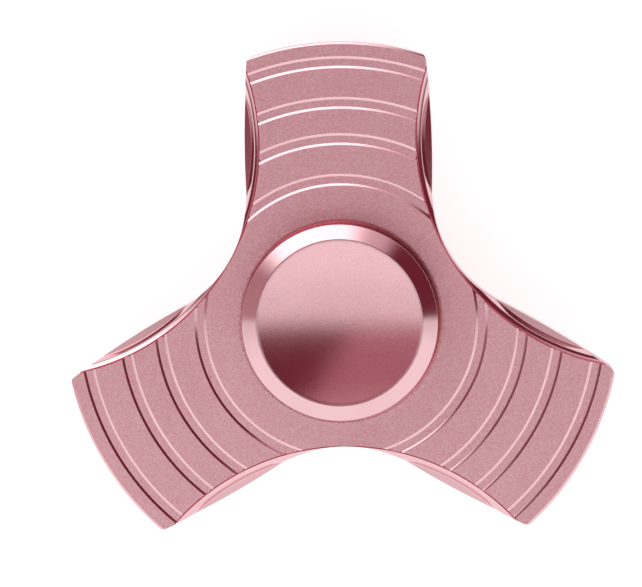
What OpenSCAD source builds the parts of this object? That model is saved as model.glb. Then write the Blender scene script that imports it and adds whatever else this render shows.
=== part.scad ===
// Three-arm fidget spinner on a shielded ball bearing, in millimetres.
// The spin axis is Z, the origin is at the middle of the bearing, and one arm points along +Y.

/* [Body] */
// Radius of the circle that the arm tips lie on
tip_radius = 37.5; // [35:0.5:42]
// Half of an arm's width at its widest place
arm_half_width = 12.64; // [11.4:0.02:13.4]
// Distance from the spin axis to an arm's widest place
arm_bow_place = 22.5; // [20:0.5:25]
// Radius of the gentle outward bow of an arm's sides
arm_bow_radius = 125; // [100:5:200]
// Distance from the spin axis to the bottom of the bay between two arms
bay_radius = 17.05; // [15.5:0.05:18]
// Rounding of an arm's two tip corners, seen from above
tip_corner = 0.9; // [0.4:0.1:1.8]
// Chamfer on the edges of an arm's tip
tip_chamfer = 0.3; // [0.1:0.05:0.6]
// Thickness of the body above and below the bearing
seat_lip = 0.5; // [0.3:0.1:1.5]
// Width of the lip that the bearing is pressed against
seat_lip_width = 0.9; // [0.5:0.1:1.1]
// Chamfer on the mouth that the bearing is pressed in through
seat_chamfer = 0.3; // [0.1:0.05:0.4]

/* [Stepped sides] */
// Radius of the round sweep that cuts the step along a bay
sweep_radius = 31.2; // [29:0.2:36]
// Width of the step at the bottom of a bay
sweep_inset = 0.15; // [0.1:0.05:0.5]
// Depth of the step's ledge below the flat face
step_depth = 2; // [1.4:0.1:2.6]
// Height of the upright shoulder at the top of the step
step_shoulder = 0.2; // [0.1:0.05:0.4]
// Width of the round that falls from the shoulder to the ledge
step_round = 1.2; // [0.8:0.1:1.6]

/* [Grooves] */
// Distance from the arm tip to the middle of the last groove
groove_margin = 2.78; // [2:0.02:4]
// Distance between the two grooves of a pair
groove_pair_step = 5.45; // [4:0.05:6]
// Distance between the inner pair and the outer pair
groove_pair_gap = 4.85; // [3.5:0.05:5.5]
// Width of a groove, between the middles of its sloping walls
groove_width = 1.28; // [0.9:0.02:1.8]
// Width of a sloping wall
groove_wall = 0.32; // [0.2:0.02:0.6]
// Depth of a groove
groove_depth = 0.27; // [0.15:0.01:0.8]

/* [Bearing] */
// Outside diameter of the bearing
bearing_outside = 22; // [21:0.1:22.6]
// Bore diameter of the bearing
bearing_bore = 8; // [7.6:0.1:8.6]
// Width of the bearing
bearing_width = 7; // [6.8:0.1:9]
// Diameter of the circle that the ball centres lie on
ball_circle = 15; // [14.8:0.05:15.2]
// Diameter of a ball
ball_diameter = 3.969; // [3.8:0.001:4.1]
// Gap between a ball and its races
race_clearance = 0.065; // [0.02:0.005:0.1]
// Diameter of the plain bands beside the inner ring's race
inner_land = 12.1; // [11.8:0.05:12.4]
// Diameter of the plain bands beside the outer ring's race
outer_land = 17.9; // [17.6:0.05:18.2]
// Chamfer on the corners of the two rings
ring_chamfer = 0.3; // [0.1:0.05:0.4]
// Thickness of a shield
shield_thickness = 0.3; // [0.2:0.05:0.4]
// Width of the ledge that a shield sits on
shield_ledge = 0.3; // [0.2:0.05:0.8]
// Gap between a shield and the inner ring
shield_gap = 0.15; // [0.1:0.05:0.3]
// Wire diameter of the clip that holds a shield
clip_wire = 0.4; // [0.3:0.05:0.45]
// Depth of a clip below the bearing's face
clip_depth = 0.15; // [0.1:0.05:0.2]
// Angle that a clip leaves open
clip_opening = 40; // [20:5:90]

/* [Cage] */
// Sheet thickness of a cage half
cage_sheet = 0.3; // [0.2:0.05:0.35]
// Gap between the cage and each ring
cage_gap = 0.3; // [0.2:0.05:0.6]
// Gap between a ball and its pocket
pocket_clearance = 0.06; // [0.03:0.01:0.1]
// Shank diameter of a cage rivet
rivet_diameter = 0.7; // [0.5:0.05:0.8]
// Head diameter of a cage rivet
rivet_head = 1.2; // [1:0.05:1.3]
// Head height of a cage rivet
rivet_head_height = 0.2; // [0.1:0.05:0.3]

/* [Buttons] */
// Outside diameter of a finger button
button_diameter = 26.2; // [24:0.1:28]
// Height of a button's outer edge above the body's face
button_edge_height = 4.2; // [3:0.1:6]
// Height of the sloping ring above the outer edge
ring_height = 0.9; // [0.5:0.1:1.6]
// Width of the sloping ring
ring_width = 1.75; // [1.2:0.05:2.6]
// Width of the flat rim between the sloping ring and the dish
rim_width = 0.3; // [0.2:0.05:0.6]
// Depth of the finger dish
dish_depth = 1.2; // [0.6:0.1:2]
// Running gap between a button and the body
button_gap = 0.5; // [0.3:0.1:1]
// Chamfer on a button's lower edge
button_chamfer = 0.4; // [0.2:0.1:0.8]
// How far the button's seat stays inside the edge of the inner ring
seat_inset = 0.45; // [0.2:0.05:0.8]
// Gap between the ends of the two button spigots
spigot_gap = 0.2; // [0.1:0.05:0.6]

/* [Stud] */
// Diameter of the stud that draws the two buttons together
stud_diameter = 5; // [4:0.1:5.6]
// Length of the stud
stud_length = 9; // [8:0.5:11]
// Chamfer on the ends of the stud
stud_chamfer = 0.5; // [0.2:0.1:0.8]
// Size across the flats of the stud's key socket
socket_flats = 2.5; // [2:0.1:3]
// Depth of the stud's key socket
socket_depth = 2.5; // [1.5:0.1:3]
// Spare depth of the threaded holes past the stud
stud_spare = 0.5; // [0.2:0.1:1]

/* [Fits] */
// Radial gap between the bearing and the body
bearing_fit = 0.01; // [0.005:0.005:0.02]
// Radial gap between a spigot and the bearing's bore
spigot_fit = 0.02; // [0.01:0.005:0.03]
// Radial gap between the stud and the buttons
stud_fit = 0.03; // [0.01:0.01:0.05]
// Gap round the shields, clips and rivets
trim_fit = 0.02; // [0.01:0.005:0.03]

/* [Hidden] */
$fn = 128;
arm_count = 3;
ball_count = 7;
arm_turn = 360 / arm_count;
bay_turn = arm_turn / 2;
hex_sides = 6;
// Extra length of a cutting shape past the face that it cuts
past = 1;

// Heights above the middle of the bearing
bearing_face = bearing_width / 2;
body_face = bearing_face + seat_lip;
button_under = body_face + button_gap;
button_edge = body_face + button_edge_height;
button_top = button_edge + ring_height;
ledge_level = body_face - step_depth;
clip_middle = bearing_face - clip_depth - clip_wire / 2;
shield_top = clip_middle - clip_wire / 2 - trim_fit;
shield_under = shield_top - shield_thickness;

// Radii about the spin axis
seat_radius = bearing_outside / 2 + bearing_fit;
lip_radius = bearing_outside / 2 - seat_lip_width;
groove_last = tip_radius - groove_margin;
groove_pairs = groove_pair_step + groove_pair_gap;
groove_steps = [0, groove_pair_step, groove_pairs, groove_pairs + groove_pair_step];
pitch_radius = ball_circle / 2;
ball_radius = ball_diameter / 2;
race_radius = ball_radius + race_clearance;
shield_seat_radius = outer_land / 2 + shield_ledge;
shield_inner_radius = inner_land / 2 + shield_gap;
cage_inner_radius = inner_land / 2 + cage_gap;
cage_outer_radius = outer_land / 2 - cage_gap;
pocket_radius = ball_radius + pocket_clearance;
dome_radius = pocket_radius + cage_sheet;
button_radius = button_diameter / 2;
rim_radius = button_radius - ring_width;
dish_radius = rim_radius - rim_width;
dish_sphere = (dish_radius ^ 2 + dish_depth ^ 2) / (2 * dish_depth);
spigot_radius = bearing_bore / 2 - spigot_fit;
button_seat_radius = inner_land / 2 - seat_inset;
stud_radius = stud_diameter / 2;

// Outline of the body: centre of the bow of an arm's +X side, and the fillet that is tangent to two bows
bow_offset = arm_bow_radius - arm_half_width;
bow_centre = [-bow_offset, arm_bow_place];
bow_reach = bow_offset * sin(bay_turn) - arm_bow_place * cos(bay_turn);
bow_power = arm_bow_radius ^ 2 - bow_offset ^ 2 - arm_bow_place ^ 2;
bay_power = bay_radius ^ 2 + 2 * bay_radius * bow_reach;
bay_fillet = (bow_power - bay_power) / (2 * (bay_radius + bow_reach - arm_bow_radius));
bay_direction = [sin(bay_turn), cos(bay_turn)];
bay_centre = (bay_radius + bay_fillet) * bay_direction;
bay_tangent = bow_centre + arm_bow_radius * unit(bay_centre - bow_centre);
arm_end = [0, tip_radius + past];
bay_end = 2 * tip_radius * bay_direction;
corner_centre = crossing(tip_radius - tip_corner, arm_bow_radius - tip_corner);
corner_sharp = crossing(tip_radius, arm_bow_radius);
corner_on_tip = tip_radius * unit(corner_centre);
corner_on_side = bow_centre + arm_bow_radius * unit(corner_centre - bow_centre);

// Stepped side: place of the sweep's axis, and the round between the shoulder and the ledge
sweep_place = bay_radius - sweep_inset + sweep_radius;
round_height = step_depth - step_shoulder;
round_radius = (step_round ^ 2 + round_height ^ 2) / (2 * step_round);

body_colour = "#d0989f";
button_colour = "#d8a0a6";
steel_colour = "#b6babf";
ball_colour = "#dcdfe2";
cage_colour = "#a9a69e";
shield_colour = "#c6c8ca";
stud_colour = "#83878c";

ball_names = [for (k = [1 : ball_count]) str("ball_", k)];

function unit(v) = v / norm(v);

// Mirror image of a point in the middle line of the bay on an arm's +X side
function across_bay(point) = 2 * (point * bay_direction) * bay_direction - point;

// Point on the tip side where a circle about the spin axis meets a circle about the bow's centre
function crossing(axis_radius, bow_radius) =
    let (span = norm(bow_centre))
    let (along = (axis_radius ^ 2 - bow_radius ^ 2 + span ^ 2) / (2 * span))
    let (across = sqrt(axis_radius ^ 2 - along ^ 2))
    let (towards = bow_centre / span)
    along * towards + across * [towards.y, -towards.x];

// Repeats its children once for each arm
module on_each_arm() {
    for (k = [0 : arm_count - 1])
        rotate([0, 0, k * arm_turn])
            children();
}

// Repeats its children once for each bay between two arms, with the bay along +X
module on_each_bay() {
    on_each_arm()
        rotate([0, 0, 90 - bay_turn])
            children();
}

// Repeats its children above and, mirrored, below the middle plane
module on_both_faces() {
    children();
    mirror([0, 0, 1])
        children();
}

// Space between two arms beyond the fillet, seen from above, on the +X side of an arm
module bay_mouth() {
    difference() {
        polygon([bay_centre, bay_tangent, arm_end, bay_end, across_bay(arm_end), across_bay(bay_tangent)]);
        translate(bow_centre)
            circle(r = arm_bow_radius);
        translate(across_bay(bow_centre))
            circle(r = arm_bow_radius);
    }
}

// Sharp corner that is rounded off an arm's tip, seen from above, on the +X side
module corner_waste() {
    difference() {
        polygon([corner_centre, corner_on_tip, 2 * corner_sharp - corner_centre, corner_on_side]);
        translate(corner_centre)
            circle(r = tip_corner);
    }
}

// Upright cutters that leave the arms: the bays with their fillets, and the tip corners
module outline_cuts() {
    height = 2 * (body_face + past);
    on_each_arm() {
        translate(bay_centre)
            cylinder(r = bay_fillet, h = height, center = true);
        linear_extrude(height, center = true)
            bay_mouth();
        linear_extrude(height, center = true)
            corner_waste();
        mirror([1, 0, 0])
            linear_extrude(height, center = true)
                corner_waste();
    }
}

// Disc that ends the arms on the tip circle, with chamfered edges
module tip_disc() {
    rotate_extrude()
        polygon([
            [0, -body_face],
            [tip_radius - tip_chamfer, -body_face],
            [tip_radius, -body_face + tip_chamfer],
            [tip_radius, body_face - tip_chamfer],
            [tip_radius - tip_chamfer, body_face],
            [0, body_face]
        ]);
}

// Round sweep along a bay that leaves the shoulder, the round and the ledge
module step_sweep() {
    translate([sweep_place, 0, ledge_level])
        rotate_extrude()
            difference() {
                square([sweep_radius, step_depth + past]);
                translate([sweep_radius - step_round + round_radius, 0])
                    circle(r = round_radius);
            }
}

// Ring cutter of one groove, with sloping walls and a flat floor
module groove_ring(radius) {
    slope = groove_wall / groove_depth;
    floor_half = groove_width / 2 - groove_wall / 2;
    mouth_half = floor_half + slope * (groove_depth + past);
    rotate_extrude()
        polygon([
            [radius - floor_half, body_face - groove_depth],
            [radius + floor_half, body_face - groove_depth],
            [radius + mouth_half, body_face + past],
            [radius - mouth_half, body_face + past]
        ]);
}

// Stepped hole for the bearing, open at the top, with a lip below
module bearing_seat() {
    rotate_extrude()
        polygon([
            [0, -body_face - past],
            [lip_radius, -body_face - past],
            [lip_radius, -bearing_face],
            [seat_radius, -bearing_face],
            [seat_radius, body_face - seat_chamfer],
            [seat_radius + seat_chamfer + past, body_face + past],
            [0, body_face + past]
        ]);
}

module rotor_body() {
    color(body_colour)
        difference() {
            tip_disc();
            outline_cuts();
            on_both_faces() {
                on_each_bay()
                    step_sweep();
                for (step = groove_steps)
                    groove_ring(groove_last - step);
            }
            bearing_seat();
        }
}

// Round race that both rings share
module race_section() {
    translate([pitch_radius, 0])
        circle(r = race_radius);
}

// Recess for a shield and its clip in the upper face of the outer ring
module shield_recess() {
    translate([0, shield_under])
        square([shield_seat_radius, bearing_face - shield_under + past]);
    translate([shield_seat_radius, clip_middle])
        circle(d = clip_wire + 2 * trim_fit);
}

module outer_ring() {
    outside = bearing_outside / 2;
    color(steel_colour)
        rotate_extrude()
            difference() {
                polygon([
                    [outer_land / 2, -bearing_face],
                    [outside - ring_chamfer, -bearing_face],
                    [outside, -bearing_face + ring_chamfer],
                    [outside, bearing_face - ring_chamfer],
                    [outside - ring_chamfer, bearing_face],
                    [outer_land / 2, bearing_face]
                ]);
                race_section();
                shield_recess();
                mirror([0, 1])
                    shield_recess();
            }
}

module inner_ring() {
    bore = bearing_bore / 2;
    color(steel_colour)
        rotate_extrude()
            difference() {
                polygon([
                    [bore + ring_chamfer, -bearing_face],
                    [inner_land / 2, -bearing_face],
                    [inner_land / 2, bearing_face],
                    [bore + ring_chamfer, bearing_face],
                    [bore, bearing_face - ring_chamfer],
                    [bore, -bearing_face + ring_chamfer]
                ]);
                race_section();
            }
}

// Puts its children on the ball circle, at a place counted in balls from +Y
module on_ball_circle(place) {
    rotate([0, 0, 90 + place * 360 / ball_count])
        translate([pitch_radius, 0, 0])
            children();
}

module ball(k) {
    color(ball_colour)
        on_ball_circle(k - 1)
            sphere(d = ball_diameter);
}

// Ring of the cage's width, standing on the middle plane
module cage_ring(height) {
    rotate_extrude()
        translate([cage_inner_radius, 0])
            square([cage_outer_radius - cage_inner_radius, height]);
}

// Round bar that lies along a radius at a ball's place
module pocket_bar(radius) {
    rotate([0, 90, 0])
        cylinder(r = radius, h = cage_outer_radius - cage_inner_radius + 2 * past, center = true);
}

// Pressed ribbon above the middle plane: flat pads with rivet holes, and a dome over each ball
module cage_half() {
    difference() {
        union() {
            cage_ring(cage_sheet);
            for (k = [0 : ball_count - 1])
                intersection() {
                    cage_ring(dome_radius + past);
                    on_ball_circle(k)
                        pocket_bar(dome_radius);
                }
        }
        for (k = [0 : ball_count - 1]) {
            on_ball_circle(k)
                pocket_bar(pocket_radius);
            on_ball_circle(k + 1 / 2)
                translate([0, 0, -past])
                    cylinder(d = rivet_diameter + 2 * trim_fit, h = cage_sheet + 2 * past);
        }
    }
}

module cage_upper() {
    color(cage_colour)
        cage_half();
}

module cage_lower() {
    color(cage_colour)
        mirror([0, 0, 1])
            cage_half();
}

module cage_rivets() {
    color(cage_colour)
        for (k = [0 : ball_count - 1])
            on_ball_circle(k + 1 / 2) {
                cylinder(d = rivet_diameter, h = 2 * cage_sheet, center = true);
                on_both_faces()
                    translate([0, 0, cage_sheet])
                        cylinder(d = rivet_head, h = rivet_head_height);
            }
}

module shield() {
    rotate_extrude()
        translate([shield_inner_radius, shield_under])
            square([shield_seat_radius - trim_fit - shield_inner_radius, shield_thickness]);
}

module upper_shield() {
    color(shield_colour)
        shield();
}

module lower_shield() {
    color(shield_colour)
        mirror([0, 0, 1])
            shield();
}

// Open wire ring that springs into the groove above a shield
module shield_clip() {
    rotate([0, 0, clip_opening / 2])
        rotate_extrude(angle = 360 - clip_opening)
            translate([shield_seat_radius, clip_middle])
                circle(d = clip_wire);
}

module upper_shield_clip() {
    color(steel_colour)
        shield_clip();
}

module lower_shield_clip() {
    color(steel_colour)
        mirror([0, 0, 1])
            shield_clip();
}

// Turned button: spigot in the bore, seat on the inner ring, sloping ring, flat rim and dish
module button() {
    difference() {
        rotate_extrude()
            polygon([
                [0, spigot_gap / 2],
                [spigot_radius, spigot_gap / 2],
                [spigot_radius, bearing_face],
                [button_seat_radius, bearing_face],
                [button_seat_radius, button_under],
                [button_radius - button_chamfer, button_under],
                [button_radius, button_under + button_chamfer],
                [button_radius, button_edge],
                [rim_radius, button_top],
                [0, button_top]
            ]);
        translate([0, 0, button_top - dish_depth + dish_sphere])
            sphere(r = dish_sphere);
        cylinder(r = stud_radius + stud_fit, h = stud_length / 2 + stud_spare);
    }
}

module top_button() {
    color(button_colour)
        button();
}

module bottom_button() {
    color(button_colour)
        mirror([0, 0, 1])
            button();
}

// Threaded stud with chamfered ends and a key socket in its upper end
module hub_stud() {
    half = stud_length / 2;
    color(stud_colour)
        difference() {
            rotate_extrude()
                polygon([
                    [0, -half],
                    [stud_radius - stud_chamfer, -half],
                    [stud_radius, -half + stud_chamfer],
                    [stud_radius, half - stud_chamfer],
                    [stud_radius - stud_chamfer, half],
                    [0, half]
                ]);
            translate([0, 0, half - socket_depth])
                cylinder(d = socket_flats / cos(180 / hex_sides), h = socket_depth + past, $fn = hex_sides);
        }
}

rotor_body();
outer_ring();
inner_ring();
for (k = [1 : ball_count])
    ball(k);
cage_upper();
cage_lower();
cage_rivets();
upper_shield();
lower_shield();
upper_shield_clip();
lower_shield_clip();
top_button();
bottom_button();
hub_stud();
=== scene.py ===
import bpy
import bmesh
import math
from mathutils import Matrix, Vector


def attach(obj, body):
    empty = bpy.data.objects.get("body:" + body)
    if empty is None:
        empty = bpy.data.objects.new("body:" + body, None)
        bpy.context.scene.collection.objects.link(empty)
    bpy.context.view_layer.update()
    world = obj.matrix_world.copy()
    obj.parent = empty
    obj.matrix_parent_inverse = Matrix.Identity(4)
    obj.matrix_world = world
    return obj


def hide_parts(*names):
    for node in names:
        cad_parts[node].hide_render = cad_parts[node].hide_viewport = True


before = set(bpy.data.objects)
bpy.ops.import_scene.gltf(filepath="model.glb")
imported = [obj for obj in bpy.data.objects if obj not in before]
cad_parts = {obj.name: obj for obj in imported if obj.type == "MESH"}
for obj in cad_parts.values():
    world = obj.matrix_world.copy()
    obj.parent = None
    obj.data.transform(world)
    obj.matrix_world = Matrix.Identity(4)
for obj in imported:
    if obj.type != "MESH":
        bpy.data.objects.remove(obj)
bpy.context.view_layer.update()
print("frame loaded with", len(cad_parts), "nodes")

millimetre = 0.001  # pieces are drawn in millimetres and brought to metres when they are finished


# Modelling helpers
def leaveEdit():
    if bpy.context.mode != 'OBJECT':
        bpy.ops.object.mode_set(mode='OBJECT')
    bpy.ops.object.select_all(action='DESELECT')


def pickPiece(piece):
    leaveEdit()
    piece.select_set(True)
    bpy.context.view_layer.objects.active = piece


def editPiece(piece):
    pickPiece(piece)
    bpy.ops.object.mode_set(mode='EDIT')


def startLine(name, x, y, z):  # a plane merged to one point, which a profile is drawn from
    leaveEdit()
    bpy.ops.mesh.primitive_plane_add(size=1, location=(0, 0, 0))
    piece = bpy.context.object
    piece.name = name
    piece.data.name = name
    bpy.ops.object.mode_set(mode='EDIT')
    bpy.ops.mesh.select_mode(type='VERT')
    bpy.ops.mesh.select_all(action='SELECT')
    bpy.ops.mesh.merge(type='CENTER')
    bpy.ops.transform.translate(value=(x, y, z))
    return piece


def penPoint():
    mesh = bmesh.from_edit_mesh(bpy.context.edit_object.data)
    return next(v.co.copy() for v in mesh.verts if v.select)


def lineTo(x, y, z):
    step = Vector((x, y, z)) - penPoint()
    bpy.ops.mesh.extrude_region_move(TRANSFORM_OT_translate={"value": step})


def arcAround(centre, turn, steps, axis=(0, 0, 1)):  # spin turns clockwise, so the angle is negated
    bpy.ops.mesh.spin(steps=steps, angle=-math.radians(turn), center=centre, axis=axis)


def closeLine():
    mesh = bmesh.from_edit_mesh(bpy.context.edit_object.data)
    for v in mesh.verts:
        v.select = len(v.link_edges) < 2
    mesh.select_flush_mode()
    bmesh.update_edit_mesh(bpy.context.edit_object.data)
    bpy.ops.mesh.edge_face_add()


def tidyShell(gap=0.0005):
    bpy.ops.mesh.select_all(action='SELECT')
    bpy.ops.mesh.remove_doubles(threshold=gap)
    bpy.ops.mesh.normals_make_consistent(inside=False)


def turnOnLathe(steps, centre=(0, 0, 0)):
    bpy.ops.mesh.select_all(action='SELECT')
    bpy.ops.mesh.spin(steps=steps, angle=2 * math.pi, center=centre, axis=(0, 0, 1), use_auto_merge=True)
    tidyShell()


def copyToEachArm():  # two more copies, a third of a turn apart
    bpy.ops.mesh.select_all(action='SELECT')
    for k in range(2):
        bpy.ops.mesh.duplicate()
        bpy.ops.transform.rotate(value=math.radians(120), orient_axis='Z', center_override=(0, 0, 0))


def copyToOtherFace():
    bpy.ops.mesh.select_all(action='SELECT')
    bpy.ops.mesh.duplicate()
    bpy.ops.transform.resize(value=(1, 1, -1), center_override=(0, 0, 0))
    bpy.ops.mesh.select_all(action='SELECT')
    bpy.ops.mesh.normals_make_consistent(inside=False)


def cutWith(piece, cutter, operation='DIFFERENCE'):
    pickPiece(piece)
    bpy.ops.object.modifier_add(type='BOOLEAN')
    cut = piece.modifiers[-1]
    cut.operation = operation
    cut.solver = 'EXACT'
    cut.object = cutter
    bpy.ops.object.modifier_apply(modifier=cut.name)
    bpy.data.objects.remove(cutter, do_unlink=True)


def toMetres(piece, smoothAngle):
    pickPiece(piece)
    piece.scale = (millimetre, millimetre, millimetre)
    bpy.ops.object.transform_apply(location=False, rotation=False, scale=True)
    bpy.ops.object.shade_smooth_by_angle(angle=math.radians(smoothAngle))


def keepFlats(piece, flatNormal=0.9999):  # sharp edges round the flats, so no shading bends across them
    editPiece(piece)
    bpy.ops.mesh.select_mode(type='EDGE')
    bpy.ops.mesh.select_all(action='DESELECT')
    mesh = bmesh.from_edit_mesh(piece.data)
    for edge in mesh.edges:
        level = [abs(face.normal.z) > flatNormal for face in edge.link_faces]
        edge.select = any(level) and not all(level)
    mesh.select_flush_mode()
    bmesh.update_edit_mesh(piece.data)
    bpy.ops.mesh.mark_sharp()
    leaveEdit()


def giveFinish(piece, test, slotIndex):  # faces picked by their middle and normal get a material slot
    editPiece(piece)
    bpy.ops.mesh.select_mode(type='FACE')
    bpy.ops.mesh.select_all(action='DESELECT')
    mesh = bmesh.from_edit_mesh(piece.data)
    for face in mesh.faces:
        face.select = test(face.calc_center_median(), face.normal)
    mesh.select_flush_mode()
    bmesh.update_edit_mesh(piece.data)
    piece.active_material_index = slotIndex
    bpy.ops.object.material_slot_assign()
    leaveEdit()


# Node helpers
mixShare, mixFirst, mixSecond, mixResult = 0, 6, 7, 2  # a colour Mix node's three inputs and its output


def addNode(tree, kind, x, y, sockets=None, **settings):
    node = tree.nodes.new(kind)
    node.location = (x, y)
    for name, value in settings.items():
        setattr(node, name, value)
    for name, value in (sockets or {}).items():
        node.inputs[name].default_value = value
    return node


def newGroup(name, inputs, outputs):
    group = bpy.data.node_groups.new(name, 'ShaderNodeTree')
    for label, kind in inputs:
        group.interface.new_socket(name=label, in_out='INPUT', socket_type=kind)
    for label, kind in outputs:
        group.interface.new_socket(name=label, in_out='OUTPUT', socket_type=kind)
    return group, addNode(group, 'NodeGroupInput', -900, 0), addNode(group, 'NodeGroupOutput', 600, 0)


def useGroup(tree, group, x, y, **values):
    return addNode(tree, 'ShaderNodeGroup', x, y, values, node_tree=group)


def makeBlastGrain():  # bead-blasted skin: small round dents over finer grit
    group, source, result = newGroup("blastGrain",
        [("Vector", 'NodeSocketVector'), ("Scale", 'NodeSocketFloat')],
        [("Height", 'NodeSocketFloat'), ("Fleck", 'NodeSocketFloat')])
    links = group.links
    finer = addNode(group, 'ShaderNodeMath', -700, -200, {1: 2.3}, operation='MULTIPLY')  # finer grit
    dents = addNode(group, 'ShaderNodeTexVoronoi', -500, 150, {"Randomness": 1.0}, feature='SMOOTH_F1')
    grit = addNode(group, 'ShaderNodeTexNoise', -500, -150, {"Detail": 3.0, "Roughness": 0.6})
    both = addNode(group, 'ShaderNodeMath', -200, 0, {1: 0.6}, operation='MULTIPLY_ADD')  # shallower dents
    fleck = addNode(group, 'ShaderNodeMapRange', 100, -200, {"From Min": 0.35, "From Max": 0.65})
    links.new(source.outputs["Vector"], dents.inputs["Vector"])
    links.new(source.outputs["Vector"], grit.inputs["Vector"])
    links.new(source.outputs["Scale"], dents.inputs["Scale"])
    links.new(source.outputs["Scale"], finer.inputs[0])
    links.new(finer.outputs[0], grit.inputs["Scale"])
    links.new(dents.outputs["Distance"], both.inputs[0])
    links.new(grit.outputs["Fac"], both.inputs[2])
    links.new(grit.outputs["Fac"], fleck.inputs["Value"])
    links.new(both.outputs[0], result.inputs["Height"])
    links.new(fleck.outputs["Result"], result.inputs["Fleck"])
    return group


def addAxisReach(tree, spot, x, y):  # distance from the spin axis
    flat = addNode(tree, 'ShaderNodeVectorMath', x, y, {1: (1, 1, 0)}, operation='MULTIPLY')
    reach = addNode(tree, 'ShaderNodeVectorMath', x + 200, y, operation='LENGTH')
    tree.links.new(spot, flat.inputs[0])
    tree.links.new(flat.outputs[0], reach.inputs[0])
    return reach.outputs["Value"]


def makeLatheLines():  # rings about the spin axis, left by the turning tool
    group, source, result = newGroup("latheLines",
        [("Vector", 'NodeSocketVector'), ("Scale", 'NodeSocketFloat')],
        [("Height", 'NodeSocketFloat')])
    links = group.links
    reach = addAxisReach(group, source.outputs["Vector"], -700, 0)
    spread = addNode(group, 'ShaderNodeMath', -300, 0, operation='MULTIPLY')
    rings = addNode(group, 'ShaderNodeTexNoise', -100, 0,
        {"Scale": 1.0, "Detail": 4.0, "Roughness": 0.65}, noise_dimensions='1D')
    links.new(reach, spread.inputs[0])
    links.new(source.outputs["Scale"], spread.inputs[1])
    links.new(spread.outputs[0], rings.inputs["W"])
    links.new(rings.outputs["Fac"], result.inputs["Height"])
    return group


def makeToneDrift():  # slow change of tone over a dyed or plain metal surface
    group, source, result = newGroup("toneDrift",
        [("Vector", 'NodeSocketVector'), ("Scale", 'NodeSocketFloat'), ("Light", 'NodeSocketColor'),
         ("Deep", 'NodeSocketColor')],
        [("Color", 'NodeSocketColor'), ("Mask", 'NodeSocketFloat')])
    links = group.links
    cloud = addNode(group, 'ShaderNodeTexNoise', -500, 0, {"Detail": 2.0, "Roughness": 0.5})
    ease = addNode(group, 'ShaderNodeMapRange', -250, 0, {"From Min": 0.3, "From Max": 0.7})
    mix = addNode(group, 'ShaderNodeMix', 100, 0, data_type='RGBA')
    links.new(source.outputs["Vector"], cloud.inputs["Vector"])
    links.new(source.outputs["Scale"], cloud.inputs["Scale"])
    links.new(cloud.outputs["Fac"], ease.inputs["Value"])
    links.new(ease.outputs["Result"], mix.inputs[mixShare])
    links.new(source.outputs["Light"], mix.inputs[mixFirst])
    links.new(source.outputs["Deep"], mix.inputs[mixSecond])
    links.new(mix.outputs[mixResult], result.inputs["Color"])
    links.new(ease.outputs["Result"], result.inputs["Mask"])
    return group


def makeEdgeWear():  # broken patches where the dye has rubbed off an edge
    group, source, result = newGroup("edgeWear",
        [("Vector", 'NodeSocketVector'), ("Scale", 'NodeSocketFloat'), ("Reach", 'NodeSocketFloat')],
        [("Mask", 'NodeSocketFloat')])
    links = group.links
    patch = addNode(group, 'ShaderNodeTexNoise', -500, 0, {"Detail": 5.0, "Roughness": 0.7})
    above = addNode(group, 'ShaderNodeMath', -250, 0, {0: 1.0}, operation='SUBTRACT')
    edge = addNode(group, 'ShaderNodeMapRange', 50, 0, {"From Max": 0.75}, interpolation_type='SMOOTHSTEP')
    links.new(source.outputs["Vector"], patch.inputs["Vector"])
    links.new(source.outputs["Scale"], patch.inputs["Scale"])
    links.new(source.outputs["Reach"], above.inputs[1])
    links.new(above.outputs[0], edge.inputs["From Min"])
    links.new(patch.outputs["Fac"], edge.inputs["Value"])
    links.new(edge.outputs["Result"], result.inputs["Mask"])
    return group


blastGrain = makeBlastGrain()
latheLines = makeLatheLines()
toneDrift = makeToneDrift()
edgeWear = makeEdgeWear()


def smoothTowardsAxis(tree, spot, gloss, finish):  # a lower roughness close round the spin axis
    links = tree.links
    near, far = finish["smoothNear"]
    reach = addAxisReach(tree, spot, -800, -600)
    ease = addNode(tree, 'ShaderNodeMapRange', -400, -600,
        {"From Min": near, "From Max": far, "To Min": finish["smoothShare"]},
        interpolation_type='SMOOTHSTEP')
    eased = addNode(tree, 'ShaderNodeMath', 200, 0, operation='MULTIPLY')
    links.new(reach, ease.inputs["Value"])
    links.new(gloss, eased.inputs[0])
    links.new(ease.outputs["Result"], eased.inputs[1])
    return eased.outputs[0]


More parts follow.
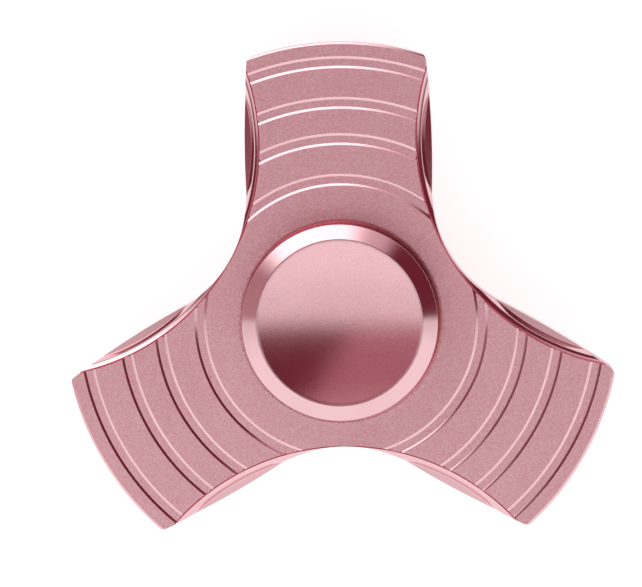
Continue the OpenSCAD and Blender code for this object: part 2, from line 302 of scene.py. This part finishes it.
def makeMetal(name, finish):  # one metal: tone drift, grain and lathe lines, uneven gloss, and worn patches
    metal = bpy.data.materials.new(name)
    metal.use_nodes = True
    tree = metal.node_tree
    tree.nodes.clear()
    links = tree.links
    out = addNode(tree, 'ShaderNodeOutputMaterial', 900, 0)
    skin = addNode(tree, 'ShaderNodeBsdfPrincipled', 600, 0,
        {"Metallic": 1.0, "Specular Tint": (*finish.get("grazing", (1, 1, 1)), 1)})
    spot = addNode(tree, 'ShaderNodeTexCoord', -1100, 0).outputs["Object"]
    links.new(skin.outputs[0], out.inputs["Surface"])
    tone = useGroup(tree, toneDrift, -800, 300, Scale=finish["driftScale"],
        Light=(*finish["light"], 1), Deep=(*finish["deep"], 1))
    grain = useGroup(tree, blastGrain, -800, 0, Scale=finish["grainScale"])
    lines = useGroup(tree, latheLines, -800, -200, Scale=finish["lineScale"])
    wear = useGroup(tree, edgeWear, -800, -400, Scale=finish["wearScale"], Reach=finish["wearReach"])
    for group in (tone, grain, lines, wear):
        links.new(spot, group.inputs["Vector"])
    fleck = addNode(tree, 'ShaderNodeMix', -500, 300, {mixShare: finish["fleck"]},
        data_type='RGBA', blend_type='OVERLAY')
    shade = addNode(tree, 'ShaderNodeCombineColor', -650, 150)
    for k in range(3):
        links.new(grain.outputs["Fleck"], shade.inputs[k])
    worn = addNode(tree, 'ShaderNodeMix', -200, 300, {mixSecond: (*finish["bare"], 1)}, data_type='RGBA')
    links.new(tone.outputs["Color"], fleck.inputs[mixFirst])
    links.new(shade.outputs[0], fleck.inputs[mixSecond])
    links.new(fleck.outputs[mixResult], worn.inputs[mixFirst])
    links.new(wear.outputs["Mask"], worn.inputs[mixShare])
    links.new(worn.outputs[mixResult], skin.inputs["Base Color"])
    fromTone = addNode(tree, 'ShaderNodeMath', -650, 0, {1: 0.6}, operation='MULTIPLY')  # drift's share
    uneven = addNode(tree, 'ShaderNodeMath', -500, 0, {1: 0.4}, operation='MULTIPLY_ADD')  # flecks' share
    gloss = addNode(tree, 'ShaderNodeMapRange', -200, 0,
        {"To Min": finish["gloss"][0], "To Max": finish["gloss"][1]})
    links.new(tone.outputs["Mask"], fromTone.inputs[0])
    links.new(grain.outputs["Fleck"], uneven.inputs[0])
    links.new(fromTone.outputs[0], uneven.inputs[2])
    links.new(uneven.outputs[0], gloss.inputs["Value"])
    roughness = gloss.outputs["Result"]
    if "smoothNear" in finish:
        roughness = smoothTowardsAxis(tree, spot, roughness, finish)
    links.new(roughness, skin.inputs["Roughness"])
    grainBump = addNode(tree, 'ShaderNodeBump', -200, -250,
        {"Strength": finish["grainStrength"], "Distance": finish["grainDepth"]})
    lineBump = addNode(tree, 'ShaderNodeBump', 200, -250,
        {"Strength": finish["lineStrength"], "Distance": finish["lineDepth"]})
    links.new(grain.outputs["Height"], grainBump.inputs["Height"])
    links.new(lines.outputs["Height"], lineBump.inputs["Height"])
    links.new(grainBump.outputs["Normal"], lineBump.inputs["Normal"])
    links.new(lineBump.outputs["Normal"], skin.inputs["Normal"])
    return metal


roseDye = {  # blasted faces of the body
    "light": (0.800, 0.490, 0.530), "deep": (0.765, 0.458, 0.497), "driftScale": 90,
    "grainScale": 3000, "grainStrength": 0.5, "grainDepth": 0.00003, "fleck": 0.26,
    "lineScale": 5200, "lineStrength": 0.05, "lineDepth": 0.000008,
    "wearScale": 700, "wearReach": 0.30, "bare": (0.78, 0.62, 0.62),
    "gloss": (0.44, 0.54), "smoothNear": (0.0136, 0.0150), "smoothShare": 0.5,  # metres off the spin axis
}
roseCut = {  # bright-cut walls, steps and rings
    "light": (0.780, 0.500, 0.530), "deep": (0.750, 0.470, 0.500), "driftScale": 120,
    "grainScale": 9000, "grainStrength": 0.06, "grainDepth": 0.000006, "fleck": 0.03,
    "lineScale": 9000, "lineStrength": 0.05, "lineDepth": 0.000004,
    "wearScale": 900, "wearReach": 0.32, "bare": (0.80, 0.66, 0.66), "gloss": (0.11, 0.16),
}
roseEdge = dict(roseCut, gloss=(0.14, 0.22), wearReach=0.52, wearScale=1500)  # edge breaks, rubbed paler
roseLedge = dict(roseCut, gloss=(0.04, 0.06), grainStrength=0.02, lineStrength=0.01)  # smooth ledges
roseDish = dict(roseCut, light=(0.775, 0.465, 0.500), deep=(0.745, 0.435, 0.470), gloss=(0.14, 0.19),
    grainScale=2400, grainStrength=0.11, grainDepth=0.00002, fleck=0.09,
    lineStrength=0.004, lineScale=3800)  # finely blasted dish
roseTurned = dict(roseCut, light=(0.74, 0.41, 0.45), deep=(0.71, 0.38, 0.42), gloss=(0.08, 0.12),
    lineStrength=0.03, lineScale=4200)  # turned wall of a button
roseShoulderShade = dict(roseCut, light=(0.52, 0.17, 0.21), deep=(0.48, 0.14, 0.18), grazing=(0.30, 0.03, 0.05),
    gloss=(0.18, 0.26))  # painted shade: a dark wine colour and dark grazing tint along the shoulders, standing in for the shade there
steelGround = {  # bearing rings
    "light": (0.66, 0.665, 0.68), "deep": (0.58, 0.585, 0.60), "driftScale": 200,
    "grainScale": 9000, "grainStrength": 0.05, "grainDepth": 0.000005, "fleck": 0.05,
    "lineScale": 12000, "lineStrength": 0.15, "lineDepth": 0.000004,
    "wearScale": 900, "wearReach": 0.36, "bare": (0.74, 0.74, 0.74), "gloss": (0.14, 0.24),
}
steelBall = dict(steelGround, light=(0.78, 0.79, 0.80), deep=(0.72, 0.73, 0.745), gloss=(0.05, 0.09),
    lineStrength=0.01, grainStrength=0.02)
steelCage = dict(steelGround, light=(0.58, 0.57, 0.54), deep=(0.47, 0.46, 0.43), gloss=(0.30, 0.42),
    grainStrength=0.2, lineStrength=0.05)
steelShield = dict(steelGround, light=(0.70, 0.71, 0.715), deep=(0.60, 0.61, 0.62), gloss=(0.24, 0.34),
    lineStrength=0.22, lineScale=7000)
steelClip = dict(steelGround, light=(0.60, 0.61, 0.62), deep=(0.50, 0.51, 0.52), gloss=(0.22, 0.30))
steelStud = dict(steelGround, light=(0.42, 0.43, 0.45), deep=(0.32, 0.33, 0.35), gloss=(0.30, 0.42),
    grainStrength=0.15)

bodyMetals = {
    "blast": makeMetal("roseDyedBlast", roseDye), "cut": makeMetal("roseBrightCut", roseCut),
    "edge": makeMetal("roseRubbedEdge", roseEdge), "deep": makeMetal("roseShoulderPaintedShade", roseShoulderShade),
    "ledge": makeMetal("roseMilledLedge", roseLedge),
}
buttonMetals = {
    "dish": makeMetal("roseDishBlast", roseDish), "cut": bodyMetals["cut"],
    "turned": makeMetal("roseTurnedWall", roseTurned), "edge": bodyMetals["edge"],
}
bodySlots = {label: k for k, label in enumerate(bodyMetals)}
buttonSlots = {label: k for k, label in enumerate(buttonMetals)}
print("metals made")


# Three-arm body
armBody = {  # millimetres and degrees
    "tipRadius": 37.5, "halfWidth": 12.638, "bowPlace": 22.5, "bowRadius": 125, "bayRadius": 17.05,
    "bays": (30, 150, 270), "outlineSteps": (26, 10, 26, 56), "joinGap": 0.002, "face": 4.0,
    "tipCorner": 0.9, "tipChamfer": 0.34, "tipBreak": 0.12, "tipSlope": 32, "tipSteep": 60,
    "discSteps": 120,
    "sweepAxis": 48.1, "sweepRadius": 31.2, "sweepSteps": 300, "ledge": 2.0,
    "shoulderWidth": 0.2, "shoulderDrop": 0.45, "wallWidth": 0.4, "footFillet": 0.15, "filletSteps": 6,
    "roundWidth": 0.6, "roundRadius": 1.7, "roundStart": 24, "roundSteps": 10,
    "grooves": (34.72, 29.27, 24.42, 18.97), "grooveWidth": 1.28, "grooveWall": 0.32, "grooveDepth": 0.17,
    "grooveFlare": 2.5, "grooveSteps": 420,
    "seatRadius": 11.01, "lipRadius": 10.1, "seatFloor": -3.5, "seatChamfer": 0.3, "seatSteps": 160,
    "reliefStart": 13.85, "reliefLead": 2, "reliefBend": 2.7, "reliefSlope": 15.5, "reliefInner": 11.9,
    "bendSteps": 12, "reliefSteps": 300,
    "edgeBreak": 0.02, "cutterPast": 1, "smoothAngle": 9,
}
bodyFinish = {  # how faces are told apart: distances, and heights of the normal
    "near": 0.001, "sweepGap": 0.01, "shoulderGap": 0.005, "grooveGap": 0.01, "breakDepth": 0.06,
    "tipGap": 0.05, "level": 0.99, "upright": 0.05,
    "grooveNormal": (0.6, 0.9), "breakNormal": (0.5, 0.97), "chamferNormal": (0.4, 0.9),
}


def angleOf(v):
    return math.degrees(math.atan2(v.y, v.x))


def wayTo(degrees):
    return Vector((math.cos(math.radians(degrees)), math.sin(math.radians(degrees))))


def drawOutline(size):  # from the middle of one tip round a bay to the middle of the next, then copied
    tip, bow, bay = size["tipRadius"], size["bowRadius"], size["bays"][0]
    bowCentre = Vector((size["halfWidth"] - bow, size["bowPlace"]))
    bayWay = wayTo(bay)
    reach = -bowCentre.dot(bayWay)
    bayPower = size["bayRadius"] ** 2 + 2 * size["bayRadius"] * reach
    bowPower = bow ** 2 - bowCentre.length_squared
    fillet = (bowPower - bayPower) / (2 * (size["bayRadius"] + reach - bow))
    bayCentre = (size["bayRadius"] + fillet) * bayWay
    inTip, inBow, span = tip - size["tipCorner"], bow - size["tipCorner"], bowCentre.length
    along = (inTip ** 2 - inBow ** 2 + span ** 2) / (2 * span)
    across = math.sqrt(inTip ** 2 - along ** 2)
    towards = bowCentre / span
    corner = along * towards + across * Vector((towards.y, -towards.x))
    middle = Vector((0, 0))

    def overBay(point):
        return 2 * point.dot(bayWay) * bayWay - point

    tipTurn = angleOf(corner) - 90
    cornerTurn = angleOf(corner - bowCentre) - angleOf(corner)
    sideTurn = angleOf(bayCentre - bowCentre) - angleOf(corner - bowCentre)
    bayTurn = 2 * (bay - angleOf(bayCentre - bowCentre))
    tipSteps, cornerSteps, sideSteps, baySteps = size["outlineSteps"]
    outline = startLine("armBody", 0, tip, -size["face"])
    for centre, turn, steps in (
            (middle, tipTurn, tipSteps), (corner, cornerTurn, cornerSteps),
            (bowCentre, sideTurn, sideSteps), (bayCentre, bayTurn, baySteps),
            (overBay(bowCentre), sideTurn, sideSteps),
            (overBay(corner), cornerTurn, cornerSteps), (middle, tipTurn, tipSteps)):
        arcAround((centre.x, centre.y, 0), turn, steps)
    copyToEachArm()
    bpy.ops.mesh.select_all(action='SELECT')
    bpy.ops.mesh.remove_doubles(threshold=size["joinGap"])
    bpy.ops.mesh.edge_face_add()
    bpy.ops.mesh.extrude_region_move(TRANSFORM_OT_translate={"value": (0, 0, 2 * size["face"])})
    tidyShell()
    return outline


def drawTipLathe(size):  # disc whose rim breaks the edges of the tips in two slopes
    tip, face, past = size["tipRadius"], size["face"], size["cutterPast"]
    inner, middle = tip - size["tipChamfer"], tip - size["tipBreak"]
    upper, lower = math.tan(math.radians(size["tipSlope"])), math.tan(math.radians(size["tipSteep"]))
    drop = (middle - inner) * upper
    rim = ((0, face + past), (inner - past / upper, face + past), (middle, face - drop),
        (tip + past, face - drop - (size["tipBreak"] + past) * lower))
    disc = startLine("tipLathe", 0, 0, face + past)
    for x, z in rim[1:]:
        lineTo(x, 0, z)
    for x, z in reversed(rim):
        lineTo(x, 0, -z)
    turnOnLathe(size["discSteps"])
    return disc


def drawStepSweeps(size):  # each leaves a steep shoulder, a round, a leaning wall and a ledge along a bay
    axis, face, past = size["sweepAxis"], size["face"], size["cutterPast"]
    outer, ledge, broken = axis + size["sweepRadius"], size["ledge"], size["edgeBreak"]
    bend, fillet, start = size["roundRadius"], size["footFillet"], math.radians(size["roundStart"])
    roundTop = outer - size["shoulderWidth"]
    roundAxis = roundTop + bend * math.sin(start)
    roundLevel = face - size["shoulderDrop"] - bend * math.cos(start)
    end = math.asin(math.sin(start) + size["roundWidth"] / bend)
    wallTop = roundTop - size["roundWidth"]
    wallRise = roundLevel + bend * math.cos(end) - ledge
    lean = math.atan2(wallRise, size["wallWidth"])
    foot = wallTop - size["wallWidth"] - fillet * math.tan(lean / 2)
    sweep = startLine("stepSweep", axis, 0, ledge)
    lineTo(foot, 0, ledge)
    arcAround((foot, 0, ledge + fillet), -math.degrees(lean), size["filletSteps"], axis=(0, 1, 0))
    lineTo(wallTop, 0, ledge + wallRise)
    arcAround((roundAxis, 0, roundLevel), math.degrees(end - start), size["roundSteps"], axis=(0, 1, 0))
    lineTo(outer, 0, face - broken)
    lineTo(outer + broken + past, 0, face + past)
    lineTo(axis, 0, face + past)
    turnOnLathe(size["sweepSteps"], centre=(axis, 0, 0))
    turn = -math.radians(size["bays"][0])  # with no window, rotate turns the other way
    bpy.ops.transform.rotate(value=turn, orient_axis='Z', center_override=(0, 0, 0))
    copyToEachArm()
    copyToOtherFace()
    return sweep


def drawGrooveRings(size):  # shallow grooves with sloping walls and a flat floor
    face, depth, broken, past = size["face"], size["grooveDepth"], size["edgeBreak"], size["cutterPast"]
    slope = size["grooveWall"] / depth
    floorHalf = (size["grooveWidth"] - size["grooveWall"]) / 2
    wallHalf = floorHalf + slope * (depth - broken)
    mouthHalf = wallHalf + size["grooveFlare"] * (past + broken)
    rings = []
    for radius in size["grooves"]:
        ring = startLine("grooveRing", radius - floorHalf, 0, face - depth)
        lineTo(radius + floorHalf, 0, face - depth)
        lineTo(radius + wallHalf, 0, face - broken)
        lineTo(radius + mouthHalf, 0, face + past)
        lineTo(radius - mouthHalf, 0, face + past)
        lineTo(radius - wallHalf, 0, face - broken)
        closeLine()
        turnOnLathe(size["grooveSteps"])
        copyToOtherFace()
        rings.append(ring)
    return rings


def drawHubRelief(size):  # shallow cone with a rounded start, in both faces close round the buttons
    face, past, bend, inner = size["face"], size["cutterPast"], size["reliefBend"], size["reliefInner"]
    lead, slope = math.radians(size["reliefLead"]), math.radians(size["reliefSlope"])
    centre = (size["reliefStart"] + bend * math.sin(lead), 0, face - bend * math.cos(lead))
    coneEdge, coneTop = centre[0] - bend * math.sin(slope), centre[2] + bend * math.cos(slope)
    relief = startLine("hubRelief", inner, 0, coneTop - (coneEdge - inner) * math.tan(slope))
    lineTo(coneEdge, 0, coneTop)
    arcAround(centre, math.degrees(slope - lead / 2), size["bendSteps"], axis=(0, 1, 0))  # past the face
    lineTo(penPoint().x, 0, face + past)
    lineTo(inner, 0, face + past)
    closeLine()
    turnOnLathe(size["reliefSteps"])
    copyToOtherFace()
    return relief


def drawSeat(size):  # stepped hole for the bearing, with a lip below
    face, past = size["face"], size["cutterPast"]
    seat = startLine("bearingSeat", 0, 0, -face - past)
    lineTo(size["lipRadius"], 0, -face - past)
    lineTo(size["lipRadius"], 0, size["seatFloor"])
    lineTo(size["seatRadius"], 0, size["seatFloor"])
    lineTo(size["seatRadius"], 0, face - size["seatChamfer"])
    lineTo(size["seatRadius"] + size["seatChamfer"] + past, 0, face + past)
    lineTo(0, 0, face + past)
    turnOnLathe(size["seatSteps"])
    return seat


def breakLedgeEdges(piece, size, pick):  # outer edges of the ledges
    editPiece(piece)
    bpy.ops.mesh.select_mode(type='EDGE')
    bpy.ops.mesh.select_all(action='DESELECT')
    mesh = bmesh.from_edit_mesh(piece.data)
    for edge in mesh.edges:
        if len(edge.link_faces) == 2 and edge.is_convex:
            level = [abs(f.normal.z) for f in edge.link_faces]
            onLedge = all(abs(abs(v.co.z) - size["ledge"]) < pick["near"] for v in edge.verts)
            edge.select = onLedge and max(level) > pick["level"] and min(level) < pick["upright"]
    mesh.select_flush_mode()
    bmesh.update_edit_mesh(piece.data)
    bpy.ops.mesh.bevel(offset=size["edgeBreak"], segments=1, affect='EDGES', clamp_overlap=False,
        material=bodySlots["edge"])
    leaveEdit()


def makeArmBody(size, pick):
    body = drawOutline(size)
    leaveEdit()
    for metal in bodyMetals.values():
        body.data.materials.append(metal)
    cutWith(body, drawTipLathe(size), 'INTERSECT')
    cutWith(body, drawStepSweeps(size))
    for ring in drawGrooveRings(size):
        cutWith(body, ring)
    cutWith(body, drawHubRelief(size))
    cutWith(body, drawSeat(size))
    breakLedgeEdges(body, size, pick)
    face, ledge, near = size["face"], size["ledge"], pick["near"]
    sweepAxes = [size["sweepAxis"] * wayTo(bay) for bay in size["bays"]]
    sweepEdge = size["sweepRadius"] + pick["sweepGap"]
    shoulderEnd = size["sweepRadius"] - size["shoulderWidth"] - pick["shoulderGap"]
    chamferEnd = size["tipRadius"] - size["tipChamfer"] - pick["tipGap"]
    grooveEnd = face - size["grooveDepth"] - pick["grooveGap"]

    def sweepReach(spot):
        return min((spot.xy - axis).length for axis in sweepAxes)

    def leans(normal, label):
        return pick[label][0] < abs(normal.z) < pick[label][1]

    def onStep(spot, normal):
        return ledge - near < abs(spot.z) < face - near and sweepReach(spot) < sweepEdge

    def onShoulder(spot, normal):
        inHeight = face - size["shoulderDrop"] < abs(spot.z) < face - size["edgeBreak"]
        return inHeight and shoulderEnd < sweepReach(spot) < sweepEdge

    def onLedge(spot, normal):
        return abs(abs(spot.z) - ledge) < near and abs(normal.z) > pick["level"]

    def onGrooveWall(spot, normal):
        return abs(spot.z) > grooveEnd and leans(normal, "grooveNormal")

    def onBreak(spot, normal):
        return abs(spot.z) > face - pick["breakDepth"] and leans(normal, "breakNormal")

    def onTipChamfer(spot, normal):
        return spot.xy.length > chamferEnd and leans(normal, "chamferNormal")

    # the shoulders take the dark "deep" finish, which is painted shade along them
    for test, label in (
            (onGrooveWall, "cut"), (onBreak, "edge"), (onStep, "cut"), (onShoulder, "deep"),
            (onLedge, "ledge"), (onTipChamfer, "cut")):
        giveFinish(body, test, bodySlots[label])
    toMetres(body, size["smoothAngle"])
    keepFlats(body)
    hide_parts("rotor_body")
    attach(body, "rotor")
    return body


body = makeArmBody(armBody, bodyFinish)
print("body made with", len(body.data.polygons), "faces")


# Finger buttons
fingerButton = {  # millimetres and degrees
    "radius": 13.1, "under": 4.5, "edge": 8.1, "top": 9.1, "ringWidth": 1.93, "rimWidth": 0.3,
    "dishDepth": 1.2, "dishSteps": 40, "lowerChamfer": 0.4, "seatRadius": 5.6, "seat": 3.5,
    "spigotRadius": 3.98, "spigotEnd": 0.1, "spigotChamfer": 0.3, "studRadius": 2.53, "studHole": 5.0,
    "edgeBreak": 0.05, "outerBreak": 0.02, "latheSteps": 220, "smoothAngle": 9,
    "wallNormal": 0.1, "rimFinish": 0.06,
}


def makeTopButton(size):
    radius, top, edge = size["radius"], size["top"], size["edge"]
    broken, outer, chamfer = size["edgeBreak"], size["outerBreak"], size["spigotChamfer"]
    stud, spigot = size["studRadius"], size["spigotRadius"]
    spigotEnd, under = size["spigotEnd"], size["under"]
    rim = radius - size["ringWidth"]
    dish = rim - size["rimWidth"]
    dishEdge = dish - broken
    ringFall = math.atan2(top - edge, size["ringWidth"])
    run, fall = math.cos(ringFall), math.sin(ringFall)
    sphere = (dish ** 2 + size["dishDepth"] ** 2) / (2 * size["dishDepth"])
    sphereLevel = top - size["dishDepth"] + sphere
    dishTurn = math.degrees(math.asin(dishEdge / sphere))
    button = startLine("topFingerButton", 0, 0, size["studHole"])
    for x, z in (
            (stud, size["studHole"]), (stud, spigotEnd + chamfer), (stud + chamfer, spigotEnd),
            (spigot - chamfer, spigotEnd), (spigot, spigotEnd + chamfer), (spigot, size["seat"]),
            (size["seatRadius"], size["seat"]), (size["seatRadius"], under),
            (radius - size["lowerChamfer"], under), (radius, under + size["lowerChamfer"]),
            (radius, edge - outer), (radius - outer * run, edge + outer * fall),
            (rim + broken * run, top - broken * fall), (rim - broken, top), (dish + broken, top),
            (dishEdge, sphereLevel - math.sqrt(sphere ** 2 - dishEdge ** 2))):
        lineTo(x, 0, z)
    arcAround((0, 0, sphereLevel), dishTurn, size["dishSteps"], axis=(0, 1, 0))
    turnOnLathe(size["latheSteps"])
    leaveEdit()
    for metal in buttonMetals.values():
        button.data.materials.append(metal)

    def onWall(spot, normal):
        return spot.z < edge - broken and normal.z < size["wallNormal"]

    def onRing(spot, normal):
        return edge < spot.z and spot.xy.length > rim

    def onOuterBreak(spot, normal):
        return abs(spot.xy.length - radius) < broken and abs(spot.z - edge) < broken

    def onRim(spot, normal):
        return dishEdge < spot.xy.length < rim + broken * run and spot.z > top - size["rimFinish"]

    for test, label in ((onWall, "turned"), (onRing, "cut"), (onOuterBreak, "edge"), (onRim, "edge")):
        giveFinish(button, test, buttonSlots[label])
    toMetres(button, size["smoothAngle"])
    return button


def copyAsBottomButton(button):
    pickPiece(button)
    bpy.ops.object.duplicate(linked=False)
    other = bpy.context.object
    other.name = "bottomFingerButton"
    other.data.name = "bottomFingerButton"
    editPiece(other)
    bpy.ops.mesh.select_all(action='SELECT')
    bpy.ops.transform.resize(value=(1, 1, -1), center_override=(0, 0, 0))
    bpy.ops.mesh.normals_make_consistent(inside=False)
    leaveEdit()
    return other


topButton = makeTopButton(fingerButton)
bottomButton = copyAsBottomButton(topButton)
for piece, node in ((topButton, "top_button"), (bottomButton, "bottom_button")):
    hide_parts(node)
    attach(piece, "hub")
print("buttons made with", len(topButton.data.polygons), "faces each")


# Bearing and stud keep their solids and get better finishes
bearingSteels = {
    "steelGround": (steelGround, ("outer_ring", "inner_ring")),
    "steelCage": (steelCage, ("cage_upper", "cage_lower", "cage_rivets")),
    "steelShield": (steelShield, ("upper_shield", "lower_shield")),
    "steelClip": (steelClip, ("upper_shield_clip", "lower_shield_clip")),
    "steelStud": (steelStud, ("hub_stud",)),
    "steelBall": (steelBall, ["ball_" + str(k) for k in range(1, 8)]),
}
for label, (finish, nodes) in bearingSteels.items():
    steel = makeMetal(label, finish)
    for node in nodes:
        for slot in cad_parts[node].material_slots:
            slot.material = steel
print("bearing finished with", len(bearingSteels), "steels")


# Studio
studio = {  # metres and degrees
    "floorLevel": -0.00912, "floorSize": 6.0, "paperGrey": 0.5, "paperGlow": 0.75,
    "roomColour": (0.17, 0.03, 0.045),
    "cameraTilt": 4.2, "cameraSide": 51.4, "cameraAway": 0.42, "cameraLens": 175, "cameraSensor": 36,
    "cameraClip": (0.05, 20), "aim": (-0.0026, 0.00372, 0.004), "turn": 1.12,
}


def makeFloor(size):
    leaveEdit()
    bpy.ops.mesh.primitive_plane_add(size=size["floorSize"], location=(0, 0, size["floorLevel"]))
    floor = bpy.context.object
    floor.name = "paleFloor"
    paper = bpy.data.materials.new("palePaper")
    paper.use_nodes = True
    tree = paper.node_tree
    tree.nodes.clear()
    links = tree.links
    grey = size["paperGrey"]
    out = addNode(tree, 'ShaderNodeOutputMaterial', 600, 0)
    both = addNode(tree, 'ShaderNodeAddShader', 400, 0)
    sheet = addNode(tree, 'ShaderNodeBsdfDiffuse', 100, 100, {"Color": (grey, grey, grey, 1)})
    glow = addNode(tree, 'ShaderNodeEmission', 100, -100, {"Color": (1, 1, 1, 1)})
    path = addNode(tree, 'ShaderNodeLightPath', -500, -100)
    seen = addNode(tree, 'ShaderNodeMath', -300, -100, operation='MAXIMUM')
    through = addNode(tree, 'ShaderNodeMath', -100, -100, operation='MAXIMUM')
    share = addNode(tree, 'ShaderNodeMath', 0, -250, {1: size["paperGlow"]}, operation='MULTIPLY')
    links.new(path.outputs["Is Camera Ray"], seen.inputs[0])
    links.new(path.outputs["Is Glossy Ray"], seen.inputs[1])
    links.new(seen.outputs[0], through.inputs[0])
    links.new(path.outputs["Is Transmission Ray"], through.inputs[1])
    links.new(through.outputs[0], share.inputs[0])
    links.new(share.outputs[0], glow.inputs["Strength"])
    links.new(sheet.outputs[0], both.inputs[0])
    links.new(glow.outputs[0], both.inputs[1])
    links.new(both.outputs[0], out.inputs["Surface"])
    floor.data.materials.append(paper)


studioPanels = {  # degrees off the zenith towards a side, with the start and end of each soft edge
    "left": {"side": 166, "near": (45, 59), "far": (59, 63), "half": (12, 24),
        "colour": (0.58, 0.37, 0.39)},
    "ceiling": {"side": 150, "near": (-1, 8.5), "far": (26, 36), "half": (50, 60),
        "colour": (0.47, 0.22, 0.26)},
    "backRight": {"side": 66, "near": (42, 46), "far": (53, 60), "half": (3, 14),
        "colour": (0.85, 0.66, 0.70)},
    "backCeiling": {"side": 100, "near": (14, 22), "far": (28, 36), "half": (8, 22),
        "colour": (0.62, 0.38, 0.42)},
    "backStrip": {"side": 110, "near": (43, 48), "far": (80, 87), "half": (16, 36),
        "colour": (2.1, 2.1, 2.1)},
    "front": {"side": 270, "near": (0, 6.6), "far": (96, 100), "half": (60, 80),
        "colour": (0.98, 0.96, 0.96)},
    "frontBright": {"side": 270, "near": (10, 26), "far": (96, 100), "half": (48, 70),
        "colour": (1.18, 1.18, 1.18)},
}


def makeSoftPanel():  # mask of one soft-edged panel on the sky
    edges = (("Near", 0.0, 1.0), ("Far", 1.0, 0.0), ("Half", 1.0, 0.0))  # mask before and past each edge
    ends = [(edge + end, 'NodeSocketFloat') for edge, low, high in edges for end in (" Start", " End")]
    group, source, result = newGroup("softPanel",
        [("Way", 'NodeSocketVector'), ("Along", 'NodeSocketVector'), ("Across", 'NodeSocketVector'), *ends],
        [("Mask", 'NodeSocketFloat')])
    links = group.links
    parts = addNode(group, 'ShaderNodeSeparateXYZ', -700, 200)
    along = addNode(group, 'ShaderNodeVectorMath', -700, 0, operation='DOT_PRODUCT')
    across = addNode(group, 'ShaderNodeVectorMath', -700, -200, operation='DOT_PRODUCT')
    drop = addNode(group, 'ShaderNodeMath', -500, 100, operation='ARCTAN2')
    dropped = addNode(group, 'ShaderNodeMath', -350, 100, operation='DEGREES')
    swing = addNode(group, 'ShaderNodeMath', -500, -200, operation='ARCSINE')
    swung = addNode(group, 'ShaderNodeMath', -350, -200, operation='DEGREES')
    aside = addNode(group, 'ShaderNodeMath', -200, -200, operation='ABSOLUTE')
    links.new(source.outputs["Way"], parts.inputs[0])
    links.new(source.outputs["Way"], along.inputs[0])
    links.new(source.outputs["Along"], along.inputs[1])
    links.new(source.outputs["Way"], across.inputs[0])
    links.new(source.outputs["Across"], across.inputs[1])
    links.new(along.outputs["Value"], drop.inputs[0])
    links.new(parts.outputs["Z"], drop.inputs[1])
    links.new(drop.outputs[0], dropped.inputs[0])
    links.new(across.outputs["Value"], swing.inputs[0])
    links.new(swing.outputs[0], swung.inputs[0])
    links.new(swung.outputs[0], aside.inputs[0])
    mask = None
    for k, (edge, low, high) in enumerate(edges):
        angle = aside if edge == "Half" else dropped
        ease = addNode(group, 'ShaderNodeMapRange', 0, 200 - 250 * k, {"To Min": low, "To Max": high},
            interpolation_type='SMOOTHSTEP')
        links.new(angle.outputs[0], ease.inputs["Value"])
        links.new(source.outputs[edge + " Start"], ease.inputs["From Min"])
        links.new(source.outputs[edge + " End"], ease.inputs["From Max"])
        if mask:
            both = addNode(group, 'ShaderNodeMath', 200 * k, 0, operation='MULTIPLY')
            links.new(mask, both.inputs[0])
            links.new(ease.outputs["Result"], both.inputs[1])
            mask = both.outputs[0]
        else:
            mask = ease.outputs["Result"]
    links.new(mask, result.inputs["Mask"])
    return group


def makeDome(size, panels):  # a dim wine-dark room with soft panels in it
    dome = bpy.data.worlds.new("studioDome")
    bpy.context.scene.world = dome
    dome.use_nodes = True
    tree = dome.node_tree
    tree.nodes.clear()
    links = tree.links
    softPanel = makeSoftPanel()
    out = addNode(tree, 'ShaderNodeOutputWorld', 600, 0)
    sky = addNode(tree, 'ShaderNodeBackground', 400, 0, {"Strength": 1.0})
    way = addNode(tree, 'ShaderNodeTexCoord', -600, 0)
    light = addNode(tree, 'ShaderNodeRGB', -400, 300).outputs[0]
    light.default_value = (*size["roomColour"], 1)
    for k, panel in enumerate(panels.values()):
        side = math.radians(panel["side"])
        sheet = useGroup(tree, softPanel, -300, -250 * k)
        sheet.inputs["Along"].default_value = (math.cos(side), math.sin(side), 0)
        sheet.inputs["Across"].default_value = (-math.sin(side), math.cos(side), 0)
        for edge in ("near", "far", "half"):
            sheet.inputs[edge.title() + " Start"].default_value = panel[edge][0]
            sheet.inputs[edge.title() + " End"].default_value = panel[edge][1]
        over = addNode(tree, 'ShaderNodeMix', 0, -250 * k, {mixSecond: (*panel["colour"], 1)},
            data_type='RGBA')
        links.new(way.outputs["Generated"], sheet.inputs["Way"])
        links.new(sheet.outputs["Mask"], over.inputs[mixShare])
        links.new(light, over.inputs[mixFirst])
        light = over.outputs[mixResult]
    links.new(light, sky.inputs["Color"])
    links.new(sky.outputs[0], out.inputs["Surface"])


def makeCamera(size):
    tilt, side = math.radians(size["cameraTilt"]), math.radians(size["cameraSide"])
    turn = math.radians(size["turn"])
    aim = Vector(size["aim"])
    away = Vector((math.sin(tilt) * math.cos(side), math.sin(tilt) * math.sin(side), math.cos(tilt)))
    leaveEdit()
    bpy.ops.object.camera_add(location=aim + size["cameraAway"] * away)
    camera = bpy.context.object
    camera.name = "photoCamera"
    right = Vector((math.sin(turn), math.cos(turn), 0)).cross(away).normalized()
    up = away.cross(right).normalized()
    camera.rotation_euler = Matrix((right, up, away)).transposed().to_euler()
    camera.data.lens = size["cameraLens"]
    camera.data.sensor_width = size["cameraSensor"]
    camera.data.clip_start, camera.data.clip_end = size["cameraClip"]
    bpy.context.scene.camera = camera


makeFloor(studio)
makeDome(studio, studioPanels)
makeCamera(studio)
bpy.context.scene.view_settings.view_transform = 'Standard'
print("studio set")

leaveEdit()
